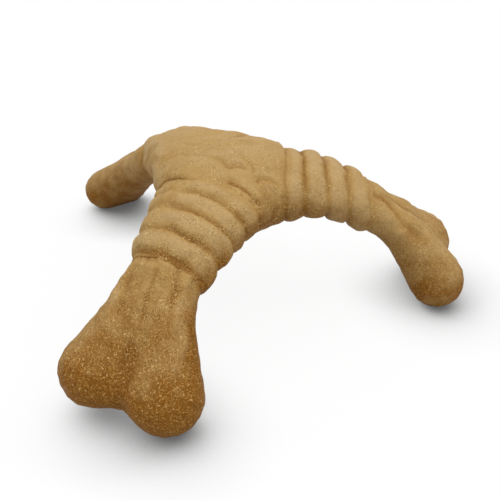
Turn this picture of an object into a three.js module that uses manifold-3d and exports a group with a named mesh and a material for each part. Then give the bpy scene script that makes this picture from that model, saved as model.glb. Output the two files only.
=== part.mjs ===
// A three-ended dog chew moulded in wood-fibre composite.
// A raised centre body carries two ribbed grips and a plain stem, and each limb arches down to a bone end
// with two knuckles. Both knuckles of the stem and the inner one of each prong stand on the floor.
// Millimetres, +Z up. The origin is on the floor, under the middle of the outline. The stem runs along -X.
import * as THREE from "three";
import { mergeVertices } from "three/addons/utils/BufferGeometryUtils.js";
import Module from "manifold-3d";

const wasm = await Module();
wasm.setup();

// Driving dimensions
const CROWN_HEIGHT = 51; // spine of every limb above the floor, at the root where the three meet
const PRONG_REACH = 80.5; // root to the middle of the knuckles, in plan
const PRONG_HEADING = 59.5; // each prong's angle from +X, in degrees
const STEM_REACH = 108;
const LEFT_KNUCKLES = { inner: 11.2, outer: 12.9 }; // radii. The inner one stands on the floor
const RIGHT_KNUCKLES = { inner: 12.8, outer: 12.7 };
const OUTER_CLEARANCE = 2; // height of the outer knuckle above the floor
const KNUCKLE_SPREAD = 13.1; // knuckle centre from the limb's own middle plane
const STEM_KNUCKLE_RADIUS = 9.7;
const STEM_KNUCKLE_SPREAD = 7.2;
const REST_FLAT = 0.4; // depth of the flat under each knuckle that touches the floor
const RIB_COUNT = 4;
const RIB_HEIGHT = 1.4;
const SHOULDER_HEIGHT = 1; // how far the centre body stands proud of the limbs it carries
const SHOULDER_WIDTH = 5; // length of the rounding where it falls to a prong
const STEM_SHOULDER_WIDTH = 30;
const STEM_NECK_STATION = 61; // root to the crease, in plan
const FLARE_LENGTH = 14; // stretch of a prong's shaft that opens into the knuckles, in plan
const STEM_FLARE_LENGTH = 22;
const PARTING = 0.35; // clearance between neighbouring pieces, along a limb
const FLUTE_DEPTH = 0.6; // lengthwise hollows along the bone shafts
const ROOT_BLEND = 6; // radius that melts the three roots together
const CROTCH_PAD = { out: 14, drop: 1.5, radius: 8.5 }; // ball that fills the fork between the prongs
const KNUCKLE_BLEND = 4.5; // radius in the cleft between two knuckles

const PRONG_ASPECT = 1.8; // width over height, which spaces the points round a limb
const STEM_ASPECT = 1.2;
const BODY_ASPECT = 1.5;

// The grooves between the ribs, cut a little differently on the two prongs as on the real moulding:
// first groove from the root in plan, pitch, swing towards the root on the outer side and outward lean
// of the top, both in degrees
const LEFT_GROOVES = { neck: 17.6, pitch: 8.5, turn: -3, lean: 1 };
const RIGHT_GROOVES = { neck: 20, pitch: 8.4, turn: 6.5, lean: 15 };

// Half width and half height of a prong, at the bottom of the grooves, from the root outward
const ROOT_HALF = { width: 21.3, height: 13.6 };
const NECK_HALF = { width: 20.6, height: 11.7 };
const RIB_END_HALF = { width: 14.5, height: 8.1 };
const SHAFT_HALF = { width: 14.2, height: 9 };
const FLARE_HALF = { width: 14.6, height: 8 };
const TOE_HALF = { width: 22.5, height: 9.2 };
const FLARE_CONE = { spread: 7.5, radius: 7.2 }; // where the swelling of each knuckle starts

// The same for the stem
const STEM_ROOT_HALF = { width: 31, height: 13.8 };
const STEM_NECK_HALF = { width: 8, height: 10.6 };
const STEM_SHAFT_HALF = { width: 9.4, height: 8.9 };
const STEM_FLARE_CONE = { spread: 3, radius: 7 };

// The arch of each limb seen from the side: share of the reach, share of the fall from crown to knuckle.
// A prong's shaft ends a little above the middles of its knuckles, which leaves the cleft between them
// shallow on top.
const PRONG_ARCH = [[0, 0], [0.22, 0.025], [0.43, 0.08], [0.65, 0.29], [0.84, 0.55], [1, 0.955]];
const STEM_ARCH = [[0, 0], [0.34, 0.03], [0.57, 0.28], [0.8, 0.64], [1, 1]];

// Mesh densities
const AROUND = 36; // points round a limb
const BODY_AROUND = 64; // points round the centre body
const RINGS_PER_RIB = 5;
const SHAFT_RINGS = 12;
const CAP_RINGS = 11;
const BODY_RINGS = 15;
const BODY_CAP_RINGS = 18;
const SPINE_SAMPLES = 120;
const SLOPE_STEP = 0.5; // distance each way that gives the slope of a spine
const CAST_STEPS = 26; // halvings that place a point on the surface
const CAST_LIMIT = 55; // longest distance from a spine to the surface

const FLUTE_ANGLES = [60, 120, 240, 300].map(THREE.MathUtils.degToRad);
const FLUTE_SPAN = THREE.MathUtils.degToRad(12);
const composite = { color: 0xb08a55, roughness: 0.62, metalness: 0 };

// Evenly spaced values from one end to the other, both included
function spread(from, to, steps) {
  return Array.from({ length: steps + 1 }, (_, i) => from + ((to - from) * i) / steps);
}

// The smaller of two distances, rounded over a radius
function meld(a, b, radius) {
  const near = Math.max(radius - Math.abs(a - b), 0) / radius;
  return Math.min(a, b) - near * near * radius * 0.25;
}

// Straight interpolation through rows of [station, value]
function along(rows, x) {
  const next = rows.findIndex(([station]) => station >= x);
  if (next === -1) return rows.at(-1)[1];
  if (next === 0) return rows[0][1];
  const [x0, v0] = rows[next - 1];
  const [x1, v1] = rows[next];
  return THREE.MathUtils.mapLinear(x, x0, x1, v0, v1);
}

// One limb in its own frame: x outward from the root, y across, z up. It lies in the plane y = 0.
// Stations along it are distances in plan.
class Limb {
  constructor({ heading, reach, arch, halves, aspect, grooves, ribs, shoulder, flareLength, cone, knuckles,
    apart }) {
    this.heading = heading;
    this.shoulder = shoulder;
    this.pitch = grooves.pitch;
    this.reach = reach;
    this.aspect = aspect;
    this.cone = cone;
    this.knuckles = knuckles.map(({ radius, clearance }, i) => ({
      radius,
      centre: new THREE.Vector3(reach, (2 * i - 1) * apart, radius + clearance),
    }));
    const fall = CROWN_HEIGHT - Math.min(...this.knuckles.map(({ centre }) => centre.z));
    const distances = arch.map(([out]) => out * reach);
    const levels = arch.map(([, down]) => CROWN_HEIGHT - down * fall);
    this.arch = new THREE.CubicInterpolant(distances, levels, 1);
    this.neck = grooves.neck;
    this.ribs = ribs;
    this.ribEnd = this.neck + ribs * this.pitch;
    this.flare = reach - flareLength;
    const stations = [0, this.neck, this.ribEnd, this.ribEnd, this.flare, reach];
    this.widths = stations.map((x, i) => [x, halves[i].width]);
    this.heights = stations.map((x, i) => [x, halves[i].height]);
    const sections = spread(0, reach, SPINE_SAMPLES).map((x) => this.at(x));
    this.parting = grooves.normal ?? this.at(this.neck).forward;
    this.samples = sections.map((section) => ({ ...section, depth: section.point.dot(this.parting) }));
    this.depths = this.samples.map(({ depth, point }) => [depth, point.x]);
  }

  height(x) {
    return this.arch.evaluate(THREE.MathUtils.clamp(x, 0, this.reach))[0];
  }

  // Spine point and section axes at a station: forward along the limb, across it, and up square to both.
  // slanted goes from 0, square to the spine, to 1, along the limb's parting planes.
  at(x, slanted = 0) {
    const before = Math.max(x - SLOPE_STEP, 0);
    const after = Math.min(x + SLOPE_STEP, this.reach);
    const climb = this.height(after) - this.height(before);
    const forward = new THREE.Vector3(after - before, 0, climb).normalize();
    if (slanted) forward.lerp(this.parting, slanted).normalize();
    const across = new THREE.Vector3(-forward.y, forward.x, 0).normalize();
    return {
      point: new THREE.Vector3(x, 0, this.height(x)),
      forward,
      across,
      up: new THREE.Vector3().crossVectors(forward, across),
    };
  }

  // How far the surface swells above the groove line: the body's shoulder, then one bulge per rib
  swell(x, ribs) {
    const fromNeck = x - this.neck;
    if (fromNeck < 0) {
      const run = Math.max(1 + fromNeck / this.shoulder, 0);
      return SHOULDER_HEIGHT * Math.sqrt(1 - run * run);
    }
    if (fromNeck >= ribs * this.pitch) return 0;
    return RIB_HEIGHT * Math.sin(((fromNeck / this.pitch) % 1) * Math.PI) ** 0.7;
  }

  // Lengthwise flutes, full along the shaft and fading into both of its ends
  flute(x, angle) {
    const run = (x - this.ribEnd) / (this.reach - this.ribEnd);
    if (run <= 0 || run >= 1) return 0;
    const fade = Math.sin(run * Math.PI) ** 0.6;
    const dips = FLUTE_ANGLES.map((a) => Math.exp(-(((angle - a) / FLUTE_SPAN) ** 2)));
    return FLUTE_DEPTH * fade * dips.reduce((sum, d) => sum + d, 0);
  }

  // Signed distance to the limb's tube, without its knuckles
  tube(p, ribs = this.ribs) {
    let best = this.samples[0];
    let least = Infinity;
    for (const sample of this.samples) {
      const gap = (p.x - sample.point.x) ** 2 + (p.z - sample.point.z) ** 2;
      if (gap < least) [best, least] = [sample, gap];
    }
    const offset = p.clone().sub(best.point);
    const lead = offset.dot(best.forward);
    const foot = best.point.x + lead * best.forward.x;
    const x = THREE.MathUtils.clamp(foot, 0, this.reach);
    const past = foot === x ? 0 : lead;
    const rise = offset.dot(best.up);
    const angle = THREE.MathUtils.euclideanModulo(Math.atan2(rise * this.aspect, p.y), 2 * Math.PI);
    const grooveStation = along(this.depths, p.dot(this.parting));
    const extra = this.swell(grooveStation, ribs) - this.flute(x, angle);
    const width = along(this.widths, x) + extra;
    const height = along(this.heights, x) + extra;
    const scaled = Math.hypot(p.y / width, rise / height, past / height);
    const slope = Math.hypot(p.y / width ** 2, rise / height ** 2, past / height ** 2) + Number.EPSILON;
    return (scaled * (scaled - 1)) / slope;
  }

  // Signed distance to the cone that opens from the shaft into one knuckle
  knuckle(p, { radius, centre }) {
    const from = this.at(this.flare).point.setY(Math.sign(centre.y) * this.cone.spread);
    const run = centre.clone().sub(from);
    const t = THREE.MathUtils.clamp(p.clone().sub(from).dot(run) / run.lengthSq(), 0, 1);
    return p.distanceTo(from.addScaledVector(run, t)) - THREE.MathUtils.lerp(this.cone.radius, radius, t);
  }

  // Signed distance to the shaft and both knuckles, rounded into each other
  bone(p) {
    const [left, right] = this.knuckles.map((knuckle) => this.knuckle(p, knuckle));
    return meld(this.tube(p), meld(left, right, KNUCKLE_BLEND), KNUCKLE_BLEND);
  }
}

// The point where a ray from inside leaves a body, found by halving
function cast(origin, direction, distance) {
  let inside = 0;
  let outside = CAST_LIMIT;
  for (let i = 0; i < CAST_STEPS; i += 1) {
    const middle = (inside + outside) / 2;
    if (distance(origin.clone().addScaledVector(direction, middle)) < 0) inside = middle;
    else outside = middle;
  }
  return origin.clone().addScaledVector(direction, inside);
}

// A ring of surface points seen from one spine point. lean tips the rays forward, from 0 to a right angle.
function ring({ point, forward, across, up }, { count, aspect }, lean, distance) {
  return Array.from({ length: count }, (_, i) => {
    const angle = (i / count) * 2 * Math.PI;
    const side = across.clone().multiplyScalar(Math.cos(angle));
    side.addScaledVector(up, Math.sin(angle) / aspect).setLength(Math.cos(lean));
    return cast(point, side.addScaledVector(forward, Math.sin(lean)), distance);
  });
}

// A closed skin over rings of equal count, with a point that closes each end
function skin(rings, first, last) {
  const count = rings[0].length;
  const positions = [first, ...rings.flat(), last].flatMap((p) => p.toArray());
  const lastIndex = positions.length / 3 - 1;
  const index = [];
  for (let i = 0; i < count; i += 1) {
    const j = (i + 1) % count;
    index.push(0, 1 + j, 1 + i);
    for (let r = 0; r < rings.length - 1; r += 1) {
      const a = 1 + r * count;
      const b = a + count;
      index.push(a + i, a + j, b + i, a + j, b + j, b + i);
    }
    const end = 1 + (rings.length - 1) * count;
    index.push(end + i, end + j, lastIndex);
  }
  const geometry = new THREE.BufferGeometry();
  geometry.setAttribute("position", new THREE.Float32BufferAttribute(positions, 3));
  geometry.setIndex(index);
  return geometry;
}

function solid(geometry) {
  const bare = geometry.clone();
  bare.deleteAttribute("normal");
  bare.deleteAttribute("uv");
  const merged = mergeVertices(bare);
  return new wasm.Manifold(new wasm.Mesh({
    numProp: 3,
    vertProperties: merged.attributes.position.array,
    triVerts: new Uint32Array(merged.index.array),
  }));
}

function geometryOf(manifold) {
  const { vertProperties, triVerts } = manifold.getMesh();
  const geometry = new THREE.BufferGeometry();
  geometry.setAttribute("position", new THREE.Float32BufferAttribute(vertProperties, 3));
  geometry.setIndex(new THREE.Uint32BufferAttribute(triVerts, 1));
  geometry.computeVertexNormals();
  return geometry;
}

// Everything on the far side of a plane, as a block large enough to cut any piece
function blockBeyond(point, normal) {
  const size = 4 * (PRONG_REACH + STEM_REACH);
  const block = new THREE.BoxGeometry(size, size, size).translate(0, 0, size / 2);
  const turn = new THREE.Quaternion().setFromUnitVectors(new THREE.Vector3(0, 0, 1), normal);
  return solid(block.applyQuaternion(turn).translate(...point.toArray()));
}

const floorBlock = blockBeyond(new THREE.Vector3(), new THREE.Vector3(0, 0, -1));

// The ribbed stretch of a prong, with a flat face at each end
function ribbedGrip(limb) {
  const first = limb.neck + PARTING / 2;
  const last = limb.ribEnd - PARTING / 2;
  const grooves = spread(limb.neck, limb.ribEnd, limb.ribs * RINGS_PER_RIB);
  const stations = grooves.map((x) => THREE.MathUtils.clamp(x, first, last));
  const spacing = { count: AROUND, aspect: limb.aspect };
  const rings = stations.map((x) => ring(limb.at(x, 1), spacing, 0, (p) => limb.tube(p)));
  return skin(rings, limb.at(first).point, limb.at(last).point);
}

// The shaft and knuckles at the end of a limb, flat where it meets its neighbour and under each knuckle
function boneEnd(limb) {
  const first = limb.ribEnd + PARTING / 2;
  const last = (limb.flare + limb.reach) / 2;
  const spacing = { count: AROUND, aspect: limb.aspect };
  const distance = (p) => limb.bone(p);
  const shaft = spread(0, 1, SHAFT_RINGS).map((run) => {
    const section = limb.at(THREE.MathUtils.lerp(first, last, run), 1 - run);
    return ring(section, spacing, 0, distance);
  });
  const eye = limb.at(last);
  const leans = spread(0, Math.PI / 2, CAP_RINGS).slice(1, -1);
  const cap = leans.map((lean) => ring(eye, spacing, lean, distance));
  const cleft = cast(eye.point, eye.forward, distance);
  return geometryOf(solid(skin([...shaft, ...cap], limb.at(first).point, cleft)).subtract(floorBlock));
}

// The centre body: three roots melted into one, seen from the stem's spine and cut off square at each limb
function centreBody(stem, prongs) {
  const frames = prongs.map((limb) => ({
    limb,
    matrix: new THREE.Matrix4().makeRotationZ(stem.heading - limb.heading),
  }));
  const pad = new THREE.Vector3(-CROTCH_PAD.out, 0, CROWN_HEIGHT - CROTCH_PAD.drop);
  const distance = (p) => {
    const roots = frames.map(({ limb, matrix }) => limb.tube(p.clone().applyMatrix4(matrix), 0));
    return [...roots, p.distanceTo(pad) - CROTCH_PAD.radius]
      .reduce((sum, d) => meld(sum, d, ROOT_BLEND), stem.tube(p, 0));
  };
  const spacing = { count: BODY_AROUND, aspect: BODY_ASPECT };
  const first = stem.neck - PARTING / 2;
  const rings = spread(first, 0, BODY_RINGS).map((x) => {
    const frame = stem.at(x);
    return ring({ ...frame, across: frame.across.negate() }, spacing, 0, distance);
  });
  const eye = stem.at(0);
  const back = { ...eye, forward: eye.forward.negate(), across: eye.across.negate() };
  const leans = spread(0, Math.PI / 2, BODY_CAP_RINGS).slice(1, -1);
  const cap = leans.map((lean) => ring(back, spacing, lean, distance));
  const crotch = cast(back.point, back.forward, distance);
  let body = solid(skin([...rings, ...cap], stem.at(first).point, crotch));
  for (const { limb, matrix } of frames) {
    const neck = limb.at(limb.neck - PARTING / 2, 1);
    const toStem = matrix.clone().invert();
    const point = neck.point.applyMatrix4(toStem);
    body = body.subtract(blockBeyond(point, neck.forward.transformDirection(toStem)));
  }
  return geometryOf(body);
}

// Knuckles are listed from the limb's -y side to its +y side
const standing = (radius) => ({ radius, clearance: -REST_FLAT });
const raised = (radius) => ({ radius, clearance: OUTER_CLEARANCE });

// side is 1 for the left prong, whose outer side is its +y side, and -1 for the right one
function groovePlanes(side, { neck, pitch, turn, lean }) {
  const [swing, tip] = [turn, lean].map((degrees) => Math.tan(THREE.MathUtils.degToRad(degrees)));
  return { neck, pitch, normal: new THREE.Vector3(1, side * swing, -tip).normalize() };
}

const prong = (side, knuckles, grooves) => new Limb({
  heading: THREE.MathUtils.degToRad(side * PRONG_HEADING),
  grooves: groovePlanes(side, grooves),
  reach: PRONG_REACH,
  arch: PRONG_ARCH,
  knuckles,
  apart: KNUCKLE_SPREAD,
  ribs: RIB_COUNT,
  shoulder: SHOULDER_WIDTH,
  flareLength: FLARE_LENGTH,
  cone: FLARE_CONE,
  aspect: PRONG_ASPECT,
  halves: [ROOT_HALF, NECK_HALF, RIB_END_HALF, SHAFT_HALF, FLARE_HALF, TOE_HALF],
});
const prongs = {
  left: prong(1, [standing(LEFT_KNUCKLES.inner), raised(LEFT_KNUCKLES.outer)], LEFT_GROOVES),
  right: prong(-1, [raised(RIGHT_KNUCKLES.outer), standing(RIGHT_KNUCKLES.inner)], RIGHT_GROOVES),
};
const stem = new Limb({
  heading: Math.PI,
  reach: STEM_REACH,
  arch: STEM_ARCH,
  knuckles: [standing(STEM_KNUCKLE_RADIUS), standing(STEM_KNUCKLE_RADIUS)],
  apart: STEM_KNUCKLE_SPREAD,
  grooves: { neck: STEM_NECK_STATION, pitch: 0 },
  ribs: 0,
  shoulder: STEM_SHOULDER_WIDTH,
  flareLength: STEM_FLARE_LENGTH,
  cone: STEM_FLARE_CONE,
  aspect: STEM_ASPECT,
  halves: [STEM_ROOT_HALF, STEM_NECK_HALF, STEM_NECK_HALF, ...Array(3).fill(STEM_SHAFT_HALF)],
});

const toy = new THREE.Group();

function place(name, geometry, heading) {
  const mesh = new THREE.Mesh(geometry, new THREE.MeshStandardMaterial(composite));
  mesh.name = name;
  mesh.rotation.z = heading;
  toy.add(mesh);
}

place("centre_body", centreBody(stem, Object.values(prongs)), stem.heading);
for (const [side, limb] of Object.entries(prongs)) {
  place(`${side}_ribbed_grip`, ribbedGrip(limb), limb.heading);
  place(`${side}_bone_end`, boneEnd(limb), limb.heading);
}
place("stem_bone_end", boneEnd(stem), stem.heading);

// Stand the toy with the middle of its footprint over the origin
const box = new THREE.Box3().setFromObject(toy, true);
toy.position.set(-(box.min.x + box.max.x) / 2, -(box.min.y + box.max.y) / 2, -box.min.z);

const chew = new THREE.Group();
chew.add(toy);
export default chew;
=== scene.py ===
# Looks of a wood-fibre dog chew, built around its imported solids. Metres, +Z up.
import math

import bmesh
import bpy
import numpy as np
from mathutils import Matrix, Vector, kdtree, noise


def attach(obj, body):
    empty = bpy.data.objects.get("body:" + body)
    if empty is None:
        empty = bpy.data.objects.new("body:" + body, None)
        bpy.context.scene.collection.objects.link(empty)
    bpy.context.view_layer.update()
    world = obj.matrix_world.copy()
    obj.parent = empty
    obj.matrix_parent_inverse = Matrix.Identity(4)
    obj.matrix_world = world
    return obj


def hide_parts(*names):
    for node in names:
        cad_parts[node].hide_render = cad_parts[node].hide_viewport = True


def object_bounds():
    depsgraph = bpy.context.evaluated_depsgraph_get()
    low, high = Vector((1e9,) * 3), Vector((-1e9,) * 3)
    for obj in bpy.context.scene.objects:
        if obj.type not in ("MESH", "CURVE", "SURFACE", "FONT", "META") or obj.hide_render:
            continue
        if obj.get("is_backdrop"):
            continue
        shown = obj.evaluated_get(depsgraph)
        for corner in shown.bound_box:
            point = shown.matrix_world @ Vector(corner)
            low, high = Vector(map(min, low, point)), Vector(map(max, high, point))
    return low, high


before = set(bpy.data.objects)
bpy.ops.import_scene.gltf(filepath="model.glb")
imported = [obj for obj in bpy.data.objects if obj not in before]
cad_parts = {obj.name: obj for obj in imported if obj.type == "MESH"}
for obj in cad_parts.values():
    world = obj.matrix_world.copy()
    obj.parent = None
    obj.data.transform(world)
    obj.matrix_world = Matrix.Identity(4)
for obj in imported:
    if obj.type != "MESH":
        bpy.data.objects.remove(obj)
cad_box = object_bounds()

MM = 0.001

# The camera stands where the photograph was taken.
CAMERA_PLACE = Vector((241.9, -146.6, 168.6)) * MM
CAMERA_AZIMUTH = math.radians(54.46)
CAMERA_ELEVATION = math.radians(29.51)
CAMERA_LENS = 53.1  # millimetres, as the sensor's width is
CAMERA_SENSOR = 36
CAMERA_NEAREST = 10 * MM

# Which way each plain limb points in plan. The two prongs are named as seen from the stem.
LIMB_HEADINGS = {
    "left_bone_end": math.radians(59.5),
    "right_bone_end": math.radians(-59.5),
    "stem_bone_end": math.pi,
}

# Fineness of the modelled surface
WELD = 0.001 * MM
VOXEL = 0.5 * MM
SMOOTHING_ROUNDS = 8
SMOOTHING_SHARES = (0.5, -0.52)  # towards the neighbours and back again, which barely shrinks the form
LEVELLING_ROUNDS = 160  # rounds of smoothing that take ribs and cracks away, to tell hollows from crests
LEVELLING_SHARE = 0.5
FOOT_HEIGHT = 2 * MM  # the surface is moved less below this height, and not at all on the floor

# A piece runs on a little inside its neighbour, so that no gap shows in the groove between them
BUTT_AREA = 150 * MM**2  # a flat larger than this is a face between two pieces
FLAT_ANGLE = math.radians(0.5)
STUB_LENGTH = 1.4 * MM
STUB_TAPER = 0.96

# Grooves are deeper here than in the solids
CAVITY_DEPTH = 0.7 * MM  # a hollow this far below the levelled surface counts as full
DEEPENING = 0.7  # how much deeper a groove gets, as a share, before the next three change it
SHALLOW_SHARPNESS = 0.5  # what a shallow groove gets of that
FULL_SHARPNESS = 0.9  # and what a full one gets besides
FULLEST = 1.4  # in cavity depths: deeper grooves get no greater share
LIMB_HOLLOW = 0.5  # how much the hollows of the plain limbs count
FADE_SPAN = 16 * MM  # grooves are deeper and shallower by turns over this span
FADE_SHARE = 0.6

# The groove at the end of each prong's ribs, along the face between two pieces
RIB_END_DEPTH = 0.45 * MM
RIB_END_WIDTH = 1.3 * MM
RIB_END_REACH = 32 * MM  # from the middle of the face to the farthest point of its groove
RIB_END_CEILING = 45 * MM  # the faces at the other end of the ribs lie higher
LEFT_RIB_END_SHARE = 0.3  # the left prong's groove is this much of the right one's

# The grooves round the centre body, along its faces to the limbs, are partly filled
HUB_FILL = 0.65
HUB_FILL_WIDTH = 3 * MM
LEFT_HUB_STEP = 0.4  # how much less is filled towards the left prong, on the side of the fork
FORK_SIDE = (26 * MM, 40 * MM)  # that side begins between these
SEAM_FILL = 0.3 * MM  # added along the very edges of those faces, except on the side of the fork
SEAM_WIDTH = 1 * MM

# Other places where grooves are filled: middle and reach in millimetres, and how much is filled
MELTED = [
    ((33, -34, 58), 9, 0.9),
    ((20, -26, 56), 8, 0.7),
    ((30, -23, 60), 7, 0.8),
    ((35, -42, 54), 8, 0.55),
    ((58, 38, 50), 8, 0.5),
    ((48, -12, 60), 9, 0.9),
]
MELT_HEIGHT = 0.7  # how much of a groove's depth a full fill takes away

# The stem swells a little on top where it meets the centre body
ROOT_SWELL = 0.8 * MM
ROOT_SWELL_LENGTH = 11 * MM
ROOT_SWELL_SLOPES = (-0.2, 0.6)  # upright part of the surface's normal between which the swell comes in

# The centre body is trimmed where the stem grows out of it, so that its shoulder slopes
SHOULDER_TRIM = 1.3 * MM
SHOULDER_START = (-36 * MM, -26 * MM)  # between these the trim comes in
SHOULDER_END = (-20 * MM, 6 * MM)  # and between these it runs out
SHOULDER_SLOPES = (-0.3, 0.2)  # upright part of the normal, as for the swell

# The moulding isn't perfectly even
WAVE_SPAN = 13 * MM
WAVE_HEIGHT = 0.22 * MM
DIMPLE_SPAN = 3 * MM
DIMPLE_HEIGHT = 0.2 * MM
WANDERS = [(11 * MM, 0.95 * MM), (4.5 * MM, 0.5 * MM)]  # span and reach of the grooves' sideways wandering
LEAST_WANDER = 0.3  # share of it that low places get
WANDER_HEIGHTS = (22 * MM, 44 * MM)  # from low places to those that get it all

# Faint lengthwise streaks along the bone shafts
STREAK_LENGTH = 26 * MM
STREAK_WIDTH = 2.2 * MM
STREAK_HEIGHT = 0.35 * MM
STREAK_FLOOR = (12 * MM, 28 * MM)  # they run out between these heights, over the knuckles
STREAK_PAINTED_SHADING = 0.5  # how much of a streak's depth counts towards the painted shade of hollows, and of its height towards the painted highlight of crests

# Bark-like creases across the top of the centre body: depth, half width and plan points in millimetres
CREASES = [
    (0.6, 1.4, [(42, -15), (45, -14), (52, -10), (54, -6.5), (55, -7)]),
    (0.45, 1.2, [(24, -16), (28, -14), (32.5, -12), (38, -11), (41.5, -4.5), (43, -2)]),
    (0.4, 1.0, [(33, -4), (36.5, -2.5), (43, -2), (48, -4.5), (50, -5)]),
    (0.45, 1.1, [(48.5, -7), (48, -4.5), (47.5, 0), (49, 3), (49.5, 5)]),
    (0.25, 3.0, [(5, -23), (10, -20), (16, -16.5), (24, -14.5)]),
    (0.45, 3.0, [(20, -12.5), (18.5, -7), (21, 0), (18, 9), (12, 16)]),
    (0.4, 2.6, [(20, -12.5), (26, -8), (28, 2), (30, 11)]),
    (0.55, 1.6, [(-27, -11), (-23, -13), (-12, -17), (1, -22), (5, -23)]),
    (0.45, 1.5, [(-14, -12), (-7, -17), (0, -20.5), (7, -22)]),
]
CREASE_SLOPES = (-0.4, 0.1)  # upright part of the surface's normal between which creases come in
CREASE_WANDER = 1.0 * MM
CREASE_BEND_SPAN = 5 * MM  # a crease wanders from side to side over this span
CREASE_TAPER = 0.22  # a crease runs out over this share of its length at each end
CREASE_PAINTED_SHADING = 0.9  # how much of a crease's depth counts towards the painted shade of hollows, and of its lips' height towards the painted highlight of crests
LIP_HEIGHT = 0.3  # how far the lips of a crease stand up, as a share of its depth
LIP_PLACE = 2.2  # from the middle of a crease to each lip, in half widths
LIP_WIDTH = 1.2

# Shallow valleys along the tops of the shafts: depth, half width and points in millimetres
VALLEYS = {
    "right_bone_end": [
        (0.5, 1.5, [(46, -52, 44), (50, -58.5, 41.3), (54.3, -63.6, 38.5), (60, -71, 32)]),
        (0.55, 1.5, [(53.5, -48, 47), (57.5, -53, 44.7), (62.2, -58.6, 39.6), (70, -68, 30)]),
        (0.55, 1.5, [(58.5, -43, 47.5), (62, -47.5, 45), (68.4, -53.4, 39), (77, -60.5, 31)]),
        (1.0, 2.6, [(67, -67, 30.5), (70.3, -70.9, 25.1), (73.4, -74.8, 19.5), (74, -77, 6)]),
    ],
    "left_bone_end": [
        (0.55, 2.1, [(57, 40, 49), (62.8, 45.5, 44.3), (66.4, 47.2, 40.9), (71, 49, 36.3), (79, 57, 28)]),
        (0.45, 2.0, [(56, 49, 47), (61.7, 53.5, 42), (63.8, 56, 39.5), (64.6, 60.8, 36.2), (69, 66, 30)]),
    ],
}
VALLEY_WANDER = 0.4 * MM

# Seeds of the noise, one to each use
SEED_STEPS = (17.3, 9.1, 5.7)
WANDER_SEEDS = (1, 2, 3)
WAVE_SEED = 4
DIMPLE_SEED = 5
FADE_SEED = 6
BEND_SEEDS = (11, 12, 13)
STREAK_SEED = 21

# Where the left prong and the stem begin, each as a range over which its own looks come in
LEFT_PRONG = (0, 40 * MM)  # along y
STEM = (20 * MM, -40 * MM)  # along x

# Brown of low places, and painted shade on faces that look down or into the fork, as shares of the whole
# way to brown
BROWN_TOP = 58 * MM  # low places start below this height
LEFT_BROWN_DROP = 22 * MM  # and this much lower on the left prong
BROWN_FULL = 8 * MM  # from here down they are fully low
LOW_BROWN = 0.95
LEFT_LOW_LOSS = 0.4
STEM_LOW_LOSS = 0.4
LEFT_HIGH_BROWN = 0.1  # on the left prong above the low places
SHADED_SIDE = np.array((-0.34, 0, 0.94))  # faces turned away from this are shaded
SHADED_COSINES = (0.8, -0.4)  # between an open face and a shaded one
SHADED_BROWN = 0.65
LEFT_SHADED_LOSS = 0.5
STEM_SHADED_LOSS = 0.4

# How strongly fibres show, from 0 to 1, and what changes it
FLECKS = 0.65
FEWEST_FLECKS = 0.1
LOW_GAIN = 0.4
SHADED_GAIN = 0.25
WORN_LOSS = 0.15
WORN_SLOPES = (0.6, 0.95)  # upright part of the normal between which a crown comes to count as worn
WORN_HEIGHTS = (52 * MM, 62 * MM)
STEM_LOSS = 0.5
LEFT_LOSS = 0.1
LEFT_RIB_LOSS = 0.25
LEFT_RIB_HEIGHTS = (38 * MM, 52 * MM)
FLECK_HEIGHTS = (-16 * MM, 28 * MM)  # fibres show less towards the floor

# Fibres: spacing, half length and half width in millimetres, share of places that have one, and an offset
# that keeps the kinds apart
SPECKS = (0.9, 0.4, 0.2, 1.0, 31.0)
LONG_FIBRES = (1.15, 0.6, 0.19, 0.9, 3.0)
SHORT_FIBRES = (0.75, 0.34, 0.16, 0.95, 67.0)
GLINTS = (1.7, 0.5, 0.22, 0.35, 91.0)
FULL_LENGTH = 0.6  # a fibre is at full strength over this share of its length
FULL_WIDTH = 0.4
CURL_SCALE = 0.7  # fibres bend this often to the millimetre
CURL_DETAIL = 1.0
CURL_REACH = 0.5  # and are shifted by up to this many millimetres

# Noise in the material: span in millimetres and detail, then the values between which it acts
MOTTLE = (7.0, 4.0)
MOTTLE_VALUES = (0.3, 0.7)
MOTTLE_SHIFT = 0.2  # how much browner or paler it makes a place
GRAIN = (0.8, 3.0)
DARK_GRAIN_VALUES = (0.4, 0.7)
DARK_GRAIN = 0.3
SPECK_STRENGTH = 0.7
PATCH = (5.0, 3.0)
PATCH_VALUES = (0.4, 0.62)
PATCH_STRENGTHS = (0.35, 1.15)  # fibres come in patches on pale places
EVEN_STRENGTH = 0.85  # and evenly on brown ones

# Painted highlight on crests and on the crown, and painted shade in hollows. A cavity of 1 is a full
# hollow, and one below 0 is a crest.
CROWN_HIGHLIGHT_HEIGHTS = (58.0, 67.0)  # millimetres
CROWN_HIGHLIGHT_SHARE = 0.25
SHADE_CAVITIES = (0.0, 0.9)
SHADE_SHARE = 0.9
HIGHLIGHT_CAVITIES = (-0.6, -0.05)
HIGHLIGHT_SHARE = 0.9

# Fine roughness of the surface
FIBRE_RISE = 0.5
GRAIN_RISE = 0.8
SPECK_DIP = 0.5
BUMP_HEIGHT = 0.08 * MM
BUMP_STRENGTH = 0.6
ROUGH_VALUES = (0.3, 0.7)
ROUGHNESS = (0.58, 0.72)
SPECULAR = 0.15

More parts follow.
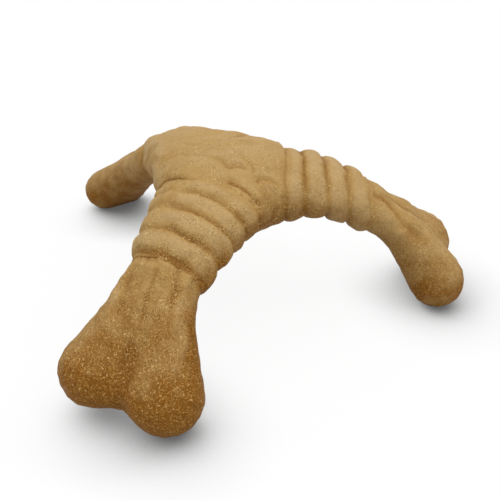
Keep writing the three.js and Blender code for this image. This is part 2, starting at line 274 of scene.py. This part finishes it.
# Light
SKY_ZENITH = 0.8
SKY_HORIZON = 0.55
SUN_STRENGTH = 0.95
SUN_ANGLE = math.radians(70)
SUN_TILT = (math.radians(-6), math.radians(10), 0)
FLOOR_SIZE = 6
FLOOR_BOUNCE = 0.5  # how much light the floor sends back up to the chew
CONTACT_REACH = 29 * MM  # the floor darkens within this distance of the chew
CONTACT_LEAN = (-0.7, 0, 1)  # the contact shadow falls away from this direction
CONTACT_SAMPLES = 16
CONTACT_SHARE = 0.9  # how much of what the camera sees of the floor is that painted soft contact shadow, the rest being the floor's real shading
CONTACT_OPENNESS = (0.1, 1.0)  # from the darkest floor to floor in the open
CONTACT_DARKEST = 0.1


def srgb(red, green, blue):
    """A linear colour from red, green and blue out of 255"""
    def linear(value):
        share = value / 255
        return share / 12.92 if share <= 0.04045 else ((share + 0.055) / 1.055) ** 2.4
    return (linear(red), linear(green), linear(blue), 1)


PALE_TAN = srgb(187, 150, 89)
BROWN_TAN = srgb(141, 91, 23)
# Colour of the painted highlight on crests and on the crown
HIGHLIGHT_TAN = srgb(195, 162, 111)
PALE_STRAW = srgb(226, 192, 126)
BROWN_STRAW = srgb(194, 145, 74)
PALE_GLINT = srgb(236, 206, 146)
BROWN_GLINT = srgb(224, 184, 120)
DARK_SPECK = srgb(90, 54, 11)
# Colour of the painted shade in hollows
PAINTED_SHADE_BROWN = srgb(134, 85, 22)
WHITE = srgb(255, 255, 255)


def smoothstep(start, end, values):
    """Goes from 0 at start to 1 at end, which may lie on either side of it"""
    share = np.clip((values - start) / (end - start), 0, 1)
    return share * share * (3 - 2 * share)


def noise_at(points, span, seed):
    """Smooth noise from about -1 to 1, one value to a point"""
    shift = Vector([seed * step for step in SEED_STEPS])
    return np.array([noise.noise(Vector(p) / span + shift) for p in points])


def noise_vectors(points, span, seeds):
    """Smooth noise in three directions"""
    return np.stack([noise_at(points, span, seed) for seed in seeds], axis=1)


# Surface meshes

def flat_regions(bm):
    """Groups of faces that lie in one plane"""
    left = set(bm.faces)
    while left:
        region = [left.pop()]
        for face in region:
            for edge in face.edges:
                for other in edge.link_faces:
                    if other in left and other.normal.angle(face.normal) < FLAT_ANGLE:
                        left.remove(other)
                        region.append(other)
        yield region


def add_stubs(bm):
    """Carries each face between two pieces on into the neighbour, a little narrower. Returns its planes."""
    regions = [faces for faces in flat_regions(bm) if sum(f.calc_area() for f in faces) > BUTT_AREA]
    planes = []
    for faces in regions:
        normal = faces[0].normal.copy()
        made = bmesh.ops.extrude_face_region(bm, geom=faces)["geom"]
        corners = [item for item in made if isinstance(item, bmesh.types.BMVert)]
        middle = sum((corner.co for corner in corners), Vector()) / len(corners)
        planes.append((np.array(middle), np.array(normal)))
        for corner in corners:
            corner.co = middle + (corner.co - middle) * STUB_TAPER + normal * STUB_LENGTH
    return planes


def rough_mesh(node):
    """A node's solid with its stubs, and the planes that they start from"""
    bm = bmesh.new()
    bm.from_mesh(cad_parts[node].data)
    bmesh.ops.remove_doubles(bm, verts=bm.verts, dist=WELD)
    bm.normal_update()
    planes = add_stubs(bm)
    rough = bpy.data.meshes.new("rough")
    bm.to_mesh(rough)
    bm.free()
    return rough, planes


def fine_mesh(parts):
    """One even, fine, closed skin over some rough meshes"""
    bm = bmesh.new()
    for part in parts:
        bm.from_mesh(part)
    rough = bpy.data.meshes.new("rough")
    bm.to_mesh(rough)
    bm.free()
    holder = bpy.data.objects.new("rough", rough)
    bpy.context.scene.collection.objects.link(holder)
    remesh = holder.modifiers.new("even", "REMESH")
    remesh.mode = "VOXEL"
    remesh.voxel_size = VOXEL
    evaluated = holder.evaluated_get(bpy.context.evaluated_depsgraph_get())
    fine = bpy.data.meshes.new_from_object(evaluated)
    bpy.data.objects.remove(holder)
    bpy.data.meshes.remove(rough)
    return fine


class Skin:
    """The points of a fine mesh, with what is needed to smooth and displace them"""

    def __init__(self, mesh):
        self.mesh = mesh
        self.points = np.empty(len(mesh.vertices) * 3)
        mesh.vertices.foreach_get("co", self.points)
        self.points = self.points.reshape(-1, 3)
        edges = np.empty(len(mesh.edges) * 2, dtype=np.int64)
        mesh.edges.foreach_get("vertices", edges)
        edges = edges.reshape(-1, 2)
        self.here = np.concatenate([edges[:, 0], edges[:, 1]])
        self.there = np.concatenate([edges[:, 1], edges[:, 0]])
        self.degree = np.bincount(self.here, minlength=len(self.points)).clip(1)[:, None]

    def around(self, values):
        """Each point's neighbours, averaged"""
        columns = [np.bincount(self.here, column[self.there], len(self.points)) for column in values.T]
        return np.stack(columns, axis=1) / self.degree

    def smoothed(self, rounds):
        """The points after rounds of smoothing that barely shrink the form"""
        points = self.points.copy()
        for _ in range(rounds):
            for share in SMOOTHING_SHARES:
                points += share * (self.around(points) - points)
        return points

    def levelled(self, rounds):
        """The points with ribs and cracks averaged away"""
        points = self.points.copy()
        for _ in range(rounds):
            points += LEVELLING_SHARE * (self.around(points) - points)
        return points

    def normals(self):
        """The mesh's normals at the points"""
        self.store()
        normals = np.empty(len(self.points) * 3)
        self.mesh.vertices.foreach_get("normal", normals)
        return normals.reshape(-1, 3)

    def store(self):
        """Moves the mesh to the points"""
        self.mesh.vertices.foreach_set("co", self.points.ravel())
        self.mesh.update()

    def keep(self, name, values):
        """Stores one number to a point for the material to read"""
        attribute = self.mesh.attributes.new(name, "FLOAT", "POINT")
        attribute.data.foreach_set("value", values.astype(np.float32))


class Form:
    """The whole chew as one skin, which tells hollows from crests across its pieces"""

    def __init__(self, skin):
        skin.points = skin.smoothed(SMOOTHING_ROUNDS)
        self.hollows = ((skin.levelled(LEVELLING_ROUNDS) - skin.points) * skin.normals()).sum(axis=1)
        self.tree = kdtree.KDTree(len(skin.points))
        for index, point in enumerate(skin.points):
            self.tree.insert(point, index)
        self.tree.balance()
        bpy.data.meshes.remove(skin.mesh)

    def hollow_at(self, points):
        """How far the surface near each point lies below its surroundings"""
        return np.array([self.hollows[self.tree.find(point)[1]] for point in points])


# Relief

def nearest_on_line(points, line):
    """Distance from points to a line of straight stretches, and the nearest place's share of its length"""
    corners = np.array(line) * MM
    runs = np.diff(corners, axis=0)
    lengths = np.linalg.norm(runs, axis=1)
    nearest = np.full(len(points), np.inf)
    along = np.zeros(len(points))
    for corner, run, length, before in zip(corners, runs, lengths, np.cumsum(lengths) - lengths):
        share = np.clip((points - corner) @ run / length**2, 0, 1)
        gap = np.linalg.norm(points - corner - share[:, None] * run, axis=1)
        along = np.where(gap < nearest, (before + share * length) / lengths.sum(), along)
        nearest = np.minimum(nearest, gap)
    return nearest, along


def crease_relief(points, creases, wander_reach):
    """Height of some creases and of their lips, from plan points or points in space as the creases have"""
    places = points + wander_reach * noise_vectors(points, CREASE_BEND_SPAN, BEND_SEEDS)
    dips = np.zeros(len(points))
    lips = np.zeros(len(points))
    for depth, width, line in creases:
        distance, along = nearest_on_line(places[:, :len(line[0])], line)
        gap = distance / (width * MM)
        size = depth * MM * smoothstep(0, CREASE_TAPER, along) * smoothstep(0, CREASE_TAPER, 1 - along)
        dips = np.maximum(dips, size * np.exp(-gap**2))
        lips = np.maximum(lips, LIP_HEIGHT * size * np.exp(-((gap - LIP_PLACE) / LIP_WIDTH) ** 2))
    return lips - dips


def ends_ribs(middle):
    """Whether a face between two pieces, with that middle, lies between ribs and a bone end"""
    return middle[0] > 0 and middle[2] < RIB_END_CEILING


def rib_end_relief(points, planes):
    """Depth of the groove at the end of the ribs"""
    relief = np.zeros(len(points))
    for middle, normal in planes:
        if ends_ribs(middle):
            depth = RIB_END_DEPTH * (1 if middle[1] < 0 else LEFT_RIB_END_SHARE)
            offset = points - middle
            near = np.linalg.norm(offset, axis=1) < RIB_END_REACH
            relief -= depth * near * np.exp(-(offset @ normal / RIB_END_WIDTH) ** 2)
    return relief


def melted_at(points, planes):
    """How much of the grooves is filled at each point"""
    open_share = np.ones(len(points))
    for middle, normal in planes:
        if not ends_ribs(middle):
            step = LEFT_HUB_STEP if middle[1] > 0 else 0
            fill = HUB_FILL - step * smoothstep(*FORK_SIDE, points[:, 0])
            away = (points - middle) @ normal / HUB_FILL_WIDTH
            open_share *= 1 - fill * np.exp(-away**2)
    for middle, reach, share in MELTED:
        away = np.linalg.norm(points - np.array(middle) * MM, axis=1) / (reach * MM)
        open_share *= 1 - share * np.exp(-away**2)
    return 1 - open_share


def groove_relief(points, hollow, melted):
    """Height that deepens open grooves and fills melted ones"""
    groove = np.maximum(hollow, 0)
    sharpness = SHALLOW_SHARPNESS + FULL_SHARPNESS * np.minimum(groove / CAVITY_DEPTH, FULLEST) ** 2
    fade = 1 + FADE_SHARE * noise_at(points, FADE_SPAN, FADE_SEED)
    return groove * (MELT_HEIGHT * melted - DEEPENING * fade * sharpness * (1 - melted))


def seam_relief(points, planes):
    """Height of the fill along the seams round the centre body, away from the fork"""
    relief = np.zeros(len(points))
    for middle, normal in planes:
        if not ends_ribs(middle):
            away = (points - middle) @ normal / SEAM_WIDTH
            relief += SEAM_FILL * np.exp(-away**2)
    return relief * (1 - smoothstep(*FORK_SIDE, points[:, 0]))


def shoulder_relief(points, normals):
    """Depth of the trim where the stem grows out of the centre body"""
    x = points[:, 0]
    trim = smoothstep(*SHOULDER_START, x) - smoothstep(*SHOULDER_END, x)
    return -SHOULDER_TRIM * trim * smoothstep(*SHOULDER_SLOPES, normals[:, 2])


def root_relief(points, normals, middle, normal):
    """Height of the stem's swell, from its face to the centre body"""
    away = np.abs((points - middle) @ normal)
    swell = ROOT_SWELL * (1 - smoothstep(0, ROOT_SWELL_LENGTH, away))
    return swell * smoothstep(*ROOT_SWELL_SLOPES, normals[:, 2])


def streak_relief(points, heading):
    """Lengthwise streaks along a limb that points that way in plan"""
    along = np.array([math.cos(heading), math.sin(heading), 0])
    across = np.array([-math.sin(heading), math.cos(heading), 0])
    height = points[:, 2]
    columns = [points @ along / STREAK_LENGTH, points @ across / STREAK_WIDTH, height / STREAK_LENGTH]
    streaks = noise_at(np.stack(columns, axis=1), 1, STREAK_SEED)
    return STREAK_HEIGHT * streaks * smoothstep(*STREAK_FLOOR, height)


def height_and_hollow(node, points, normals, planes, form):
    """Height of a node's surface over its smoothed solid, and how hollow it is, point by point, which sets
    the painted shade of hollows and the painted highlight of crests
    """
    hollow = form.hollow_at(points)
    if node in LIMB_HEADINGS:
        hollow *= LIMB_HOLLOW
    melted = melted_at(points, planes)
    height = groove_relief(points, hollow, melted)
    hollow *= 1 - melted
    height += WAVE_HEIGHT * noise_at(points, WAVE_SPAN, WAVE_SEED)
    height += DIMPLE_HEIGHT * noise_at(points, DIMPLE_SPAN, DIMPLE_SEED)
    rib_end = rib_end_relief(points, planes)
    height += rib_end
    hollow -= rib_end
    if node == "centre_body":
        creases = crease_relief(points, CREASES, CREASE_WANDER) * smoothstep(*CREASE_SLOPES, normals[:, 2])
        height += creases
        height += shoulder_relief(points, normals)
        # Painted shade in the creases and painted highlight on their lips
        hollow -= CREASE_PAINTED_SHADING * creases
    if node in LIMB_HEADINGS:
        valleys = crease_relief(points, VALLEYS.get(node, []), VALLEY_WANDER)
        streaks = streak_relief(points, LIMB_HEADINGS[node])
        height += valleys + streaks
        # Painted shade in the valleys, and painted shade and highlight along the streaks
        hollow -= CREASE_PAINTED_SHADING * np.minimum(valleys, 0) + STREAK_PAINTED_SHADING * streaks
    height += seam_relief(points, planes)
    if node == "stem_bone_end":
        height += root_relief(points, normals, *planes[0])
    return height, hollow


def wander(points):
    """Sideways shifts that keep grooves and edges from being perfectly straight"""
    shifts = sum(reach * noise_vectors(points, span, WANDER_SEEDS) for span, reach in WANDERS)
    share = LEAST_WANDER + (1 - LEAST_WANDER) * smoothstep(*WANDER_HEIGHTS, points[:, 2])
    return shifts * share[:, None]


def colouring(points, normals):
    """How brown the surface is, and how strongly fibres show in it, point by point"""
    x, y, z = points.T
    left = smoothstep(*LEFT_PRONG, y)
    stem = smoothstep(*STEM, x)
    low = smoothstep(BROWN_TOP - LEFT_BROWN_DROP * left, BROWN_FULL, z)
    # Painted shade: faces turned away from SHADED_SIDE are made browner
    shaded = smoothstep(*SHADED_COSINES, normals @ SHADED_SIDE)
    shaded *= 1 - LEFT_SHADED_LOSS * left - STEM_SHADED_LOSS * stem
    tone = low * (LOW_BROWN - LEFT_LOW_LOSS * left - STEM_LOW_LOSS * stem)
    tone += SHADED_BROWN * shaded + LEFT_HIGH_BROWN * left * (1 - low)
    worn = smoothstep(*WORN_SLOPES, normals[:, 2]) * smoothstep(*WORN_HEIGHTS, z)
    flecked = FLECKS + LOW_GAIN * low + SHADED_GAIN * shaded - WORN_LOSS * worn - STEM_LOSS * stem
    flecked -= left * (LEFT_LOSS + LEFT_RIB_LOSS * smoothstep(*LEFT_RIB_HEIGHTS, z))
    flecked *= smoothstep(*FLECK_HEIGHTS, z)
    return tone, np.clip(flecked, FEWEST_FLECKS, 1)


def dress(node, rough, planes, form, material):
    """The finished surface of one node, which stands for its solid"""
    skin = Skin(fine_mesh([rough]))
    skin.points = skin.smoothed(SMOOTHING_ROUNDS)
    normals = skin.normals()
    height, hollow = height_and_hollow(node, skin.points, normals, planes, form)
    tone, flecked = colouring(skin.points, normals)
    freedom = smoothstep(0, FOOT_HEIGHT, skin.points[:, 2])
    skin.points += wander(skin.points) * freedom[:, None]
    skin.points += normals * (height * freedom)[:, None]
    skin.points[:, 2] = np.maximum(skin.points[:, 2], 0)
    skin.store()
    skin.keep("cavity", np.clip(hollow / CAVITY_DEPTH, -1, 1))
    # tone holds the brown of low places and the painted shade of faces that look down or into the fork
    skin.keep("tone", tone)
    skin.keep("flecked", flecked)
    skin.mesh.shade_smooth()
    skin.mesh.materials.clear()
    skin.mesh.materials.append(material)
    piece = bpy.data.objects.new(f"{node}_surface", skin.mesh)
    bpy.context.scene.collection.objects.link(piece)
    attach(piece, "root")
    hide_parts(node)


# Material

class Graph:
    """Shader nodes, added and wired by short calls that give back sockets"""

    def __init__(self, tree):
        self.tree = tree
        self.tree.nodes.clear()

    def feed(self, socket, value):
        """Wires a socket to another one, or sets it to a plain value"""
        if isinstance(value, bpy.types.NodeSocket):
            self.tree.links.new(value, socket)
        else:
            socket.default_value = value

    def node(self, kind, inputs, **settings):
        """A node with its settings, fed by name or number"""
        node = self.tree.nodes.new(kind)
        for name, value in settings.items():
            setattr(node, name, value)
        for name, value in inputs.items():
            self.feed(node.inputs[name], value)
        return node

    def math(self, operation, first, second=0.0, clamp=False):
        inputs = {0: first, 1: second}
        return self.node("ShaderNodeMath", inputs, operation=operation, use_clamp=clamp).outputs[0]

    def times(self, first, second, clamp=False):
        return self.math("MULTIPLY", first, second, clamp)

    def vector(self, operation, first, second=(0, 0, 0)):
        node = self.node("ShaderNodeVectorMath", {0: first, 1: second}, operation=operation)
        return node.outputs["Value" if operation in ("DOT_PRODUCT", "LENGTH") else "Vector"]

    def scaled(self, vector, factor):
        inputs = {0: vector, "Scale": factor}
        return self.node("ShaderNodeVectorMath", inputs, operation="SCALE").outputs["Vector"]

    def ramp(self, value, low, high, start=0.0, end=1.0):
        """Goes smoothly from start to end as a value goes from low to high"""
        inputs = {"Value": value, "From Min": low, "From Max": high, "To Min": start, "To Max": end}
        return self.node("ShaderNodeMapRange", inputs, interpolation_type="SMOOTHSTEP").outputs["Result"]

    def mix(self, share, first, second):
        """A colour on the way from the first to the second, which are the node's inputs 6 and 7"""
        return self.node("ShaderNodeMix", {0: share, 6: first, 7: second}, data_type="RGBA").outputs[2]

    def noise(self, place, span, detail):
        inputs = {"Vector": place, "Scale": 1 / span, "Detail": detail}
        return self.node("ShaderNodeTexNoise", inputs).outputs["Fac"]

    def attribute(self, name):
        return self.node("ShaderNodeAttribute", {}, attribute_name=name).outputs["Fac"]


def in_surface(graph, vector, normal):
    """The part of a vector that lies in the surface"""
    rise = graph.vector("DOT_PRODUCT", vector, normal)
    return graph.vector("SUBTRACT", vector, graph.scaled(normal, rise))


def fibres(graph, place, normal, spacing, half_length, half_width, share, offset):
    """Mask of short straight fibres that lie in the surface every way round, one to a cell"""
    place = graph.vector("ADD", place, (offset, offset, offset))
    cells = graph.node("ShaderNodeTexVoronoi", {"Vector": place, "Scale": 1 / spacing})
    middle = cells.outputs["Position"]
    heading = in_surface(graph, graph.vector("SUBTRACT", cells.outputs["Color"], (0.5, 0.5, 0.5)), normal)
    heading = graph.vector("NORMALIZE", heading)
    reach = in_surface(graph, graph.vector("SUBTRACT", place, middle), normal)
    along = graph.vector("DOT_PRODUCT", reach, heading)
    aside = graph.vector("SUBTRACT", reach, graph.scaled(heading, along))
    chance = graph.node("ShaderNodeTexWhiteNoise", {"Vector": middle}).outputs["Value"]
    shown = graph.ramp(chance, 0.0, share, 1.0, 0.0)
    ends = graph.ramp(graph.math("ABSOLUTE", along), FULL_LENGTH * half_length, half_length, 1.0, 0.0)
    sides = graph.ramp(graph.vector("LENGTH", aside), FULL_WIDTH * half_width, half_width, 1.0, 0.0)
    return graph.times(graph.times(ends, sides), shown)


def ground_colour(graph, place, tone):
    """Tan to brown, with painted shade that browns the hollows and a painted highlight that pales the
    crests and the crown
    """
    height = graph.node("ShaderNodeSeparateXYZ", {"Vector": place}).outputs["Z"]
    cavity = graph.attribute("cavity")
    colour = graph.mix(tone, PALE_TAN, BROWN_TAN)
    # Painted highlight: the crown of the centre body is paled, as a sheen would pale it
    colour = graph.mix(graph.ramp(height, *CROWN_HIGHLIGHT_HEIGHTS, 0.0, CROWN_HIGHLIGHT_SHARE), colour, HIGHLIGHT_TAN)
    # Painted shade: hollows are made browner, as shade would make them
    hollow = graph.ramp(cavity, *SHADE_CAVITIES, 0.0, SHADE_SHARE)
    colour = graph.mix(hollow, colour, PAINTED_SHADE_BROWN)
    # Painted highlight: crests are paled, less so where the surface is brown
    crest = graph.ramp(cavity, *HIGHLIGHT_CAVITIES, HIGHLIGHT_SHARE, 0.0)
    return graph.mix(graph.times(crest, graph.math("SUBTRACT", 1.0, tone)), colour, HIGHLIGHT_TAN)


def fibre_strength(graph, place, tone):
    """How strongly fibres show: in patches on pale places, evenly on brown ones"""
    patch = graph.ramp(graph.noise(place, *PATCH), *PATCH_VALUES, *PATCH_STRENGTHS)
    evening = graph.times(graph.math("SUBTRACT", EVEN_STRENGTH, patch), tone)
    return graph.times(graph.attribute("flecked"), graph.math("ADD", patch, evening), clamp=True)


def wood_fibre():
    """Tan composite with straw-coloured fibres and dark specks, browner low down and in hollows"""
    material = bpy.data.materials.new("wood_fibre_composite")
    material.use_nodes = True
    graph = Graph(material.node_tree)
    coordinates = graph.node("ShaderNodeTexCoord", {}).outputs["Object"]
    place = graph.scaled(coordinates, 1 / MM)
    normal = graph.node("ShaderNodeNewGeometry", {}).outputs["Normal"]
    curl = graph.node("ShaderNodeTexNoise", {"Vector": place, "Scale": CURL_SCALE, "Detail": CURL_DETAIL})
    curled = graph.vector("ADD", place, graph.scaled(curl.outputs["Color"], CURL_REACH))
    kinds = (SPECKS, LONG_FIBRES, SHORT_FIBRES, GLINTS)
    specks, long_fibres, short_fibres, glints = [fibres(graph, curled, normal, *kind) for kind in kinds]
    grain = graph.noise(place, *GRAIN)

    mottle = graph.ramp(graph.noise(place, *MOTTLE), *MOTTLE_VALUES, -MOTTLE_SHIFT, MOTTLE_SHIFT)
    tone = graph.math("ADD", graph.attribute("tone"), mottle, clamp=True)
    straw = graph.mix(tone, PALE_STRAW, BROWN_STRAW)
    layers = (
        (graph.ramp(grain, *DARK_GRAIN_VALUES, 0.0, DARK_GRAIN), DARK_SPECK),
        (graph.times(specks, SPECK_STRENGTH), DARK_SPECK),
        (short_fibres, straw),
        (long_fibres, straw),
        (glints, graph.mix(tone, PALE_GLINT, BROWN_GLINT)),
    )
    colour = ground_colour(graph, place, tone)
    strength = fibre_strength(graph, place, tone)
    for mask, tint in layers:
        colour = graph.mix(graph.times(mask, strength), colour, tint)

    raised = graph.math("ADD", graph.times(long_fibres, FIBRE_RISE), graph.times(grain, GRAIN_RISE))
    raised = graph.math("SUBTRACT", raised, graph.times(specks, SPECK_DIP))
    rises = {"Height": raised, "Distance": BUMP_HEIGHT, "Strength": BUMP_STRENGTH}
    bump = graph.node("ShaderNodeBump", rises)
    shader = graph.node("ShaderNodeBsdfPrincipled", {
        "Base Color": colour,
        "Roughness": graph.ramp(grain, *ROUGH_VALUES, *ROUGHNESS),
        "Specular IOR Level": SPECULAR,
        "Normal": bump.outputs["Normal"],
    })
    graph.node("ShaderNodeOutputMaterial", {"Surface": shader.outputs["BSDF"]})
    return material


# Stage

def seen_directly(graph):
    """1 for the camera, mirrors and glass, 0 for light that bounces"""
    rays = graph.node("ShaderNodeLightPath", {}).outputs
    seen = graph.math("MAXIMUM", rays["Is Camera Ray"], rays["Is Glossy Ray"])
    return graph.math("MAXIMUM", seen, rays["Is Transmission Ray"])


def white_floor():
    """White to the camera, with a soft shadow round the chew's feet, mostly painted by an occlusion node
    that dims the floor's white glow and partly real, and duller to light that bounces
    """
    material = bpy.data.materials.new("white_floor")
    material.use_nodes = True
    graph = Graph(material.node_tree)
    seen = seen_directly(graph)
    bounce = (FLOOR_BOUNCE, FLOOR_BOUNCE, FLOOR_BOUNCE, 1)
    lit = graph.node("ShaderNodeBsdfDiffuse", {"Color": graph.mix(seen, bounce, WHITE)})
    lean = graph.vector("ADD", tuple(Vector(CONTACT_LEAN).normalized()))
    contact = {"Distance": CONTACT_REACH, "Normal": lean}
    openness = graph.node("ShaderNodeAmbientOcclusion", contact, samples=CONTACT_SAMPLES).outputs["AO"]
    shade = graph.ramp(openness, *CONTACT_OPENNESS, CONTACT_DARKEST, 1.0)
    white = graph.node("ShaderNodeEmission", {"Color": WHITE, "Strength": shade})
    share = graph.times(seen, CONTACT_SHARE)
    shader = graph.node("ShaderNodeMixShader", {0: share, 1: lit.outputs[0], 2: white.outputs[0]})
    graph.node("ShaderNodeOutputMaterial", {"Surface": shader.outputs["Shader"]})
    return material


def add_floor():
    """A wide white floor under the chew"""
    mesh = bpy.data.meshes.new("floor")
    half = FLOOR_SIZE / 2
    corners = [(-half, -half, 0), (half, -half, 0), (half, half, 0), (-half, half, 0)]
    mesh.from_pydata(corners, [], [(0, 1, 2, 3)])
    mesh.materials.append(white_floor())
    floor = bpy.data.objects.new("floor", mesh)
    bpy.context.scene.collection.objects.link(floor)
    floor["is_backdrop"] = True


def add_light():
    """A bright sky, white to the camera, and a broad soft key light from above"""
    world = bpy.data.worlds.new("studio")
    world.use_nodes = True
    graph = Graph(world.node_tree)
    direction = graph.node("ShaderNodeTexCoord", {}).outputs["Generated"]
    rise = graph.node("ShaderNodeSeparateXYZ", {"Vector": direction}).outputs["Z"]
    light = graph.ramp(rise, 0.0, 1.0, SKY_HORIZON, SKY_ZENITH)
    strength = graph.math("MAXIMUM", light, seen_directly(graph))
    sky = graph.node("ShaderNodeBackground", {"Color": WHITE, "Strength": strength})
    graph.node("ShaderNodeOutputWorld", {"Surface": sky.outputs["Background"]})
    bpy.context.scene.world = world
    lamp = bpy.data.lights.new("key", "SUN")
    lamp.energy = SUN_STRENGTH
    lamp.angle = SUN_ANGLE
    key = bpy.data.objects.new("key", lamp)
    key.rotation_euler = SUN_TILT
    bpy.context.scene.collection.objects.link(key)


def add_camera():
    """The photograph's camera"""
    lens = bpy.data.cameras.new("photograph")
    lens.sensor_width = CAMERA_SENSOR
    lens.lens = CAMERA_LENS
    lens.clip_start = CAMERA_NEAREST
    back = Vector((
        math.sin(CAMERA_AZIMUTH) * math.cos(CAMERA_ELEVATION),
        -math.cos(CAMERA_AZIMUTH) * math.cos(CAMERA_ELEVATION),
        math.sin(CAMERA_ELEVATION),
    ))
    camera = bpy.data.objects.new("photograph", lens)
    camera.location = CAMERA_PLACE
    camera.rotation_euler = (-back).to_track_quat("-Z", "Y").to_euler()
    bpy.context.scene.collection.objects.link(camera)
    bpy.context.scene.camera = camera


bpy.context.scene.view_settings.view_transform = "Standard"
add_camera()
add_light()
add_floor()
composite = wood_fibre()
solids = {node: rough_mesh(node) for node in sorted(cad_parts)}
whole = Form(Skin(fine_mesh([rough for rough, _ in solids.values()])))
for node, (rough, planes) in solids.items():
    dress(node, rough, planes, whole, composite)
    bpy.data.meshes.remove(rough)

boxes = {"cad": cad_box, "visual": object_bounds()}
{name: [list(corner) for corner in box] for name, box in boxes.items()}
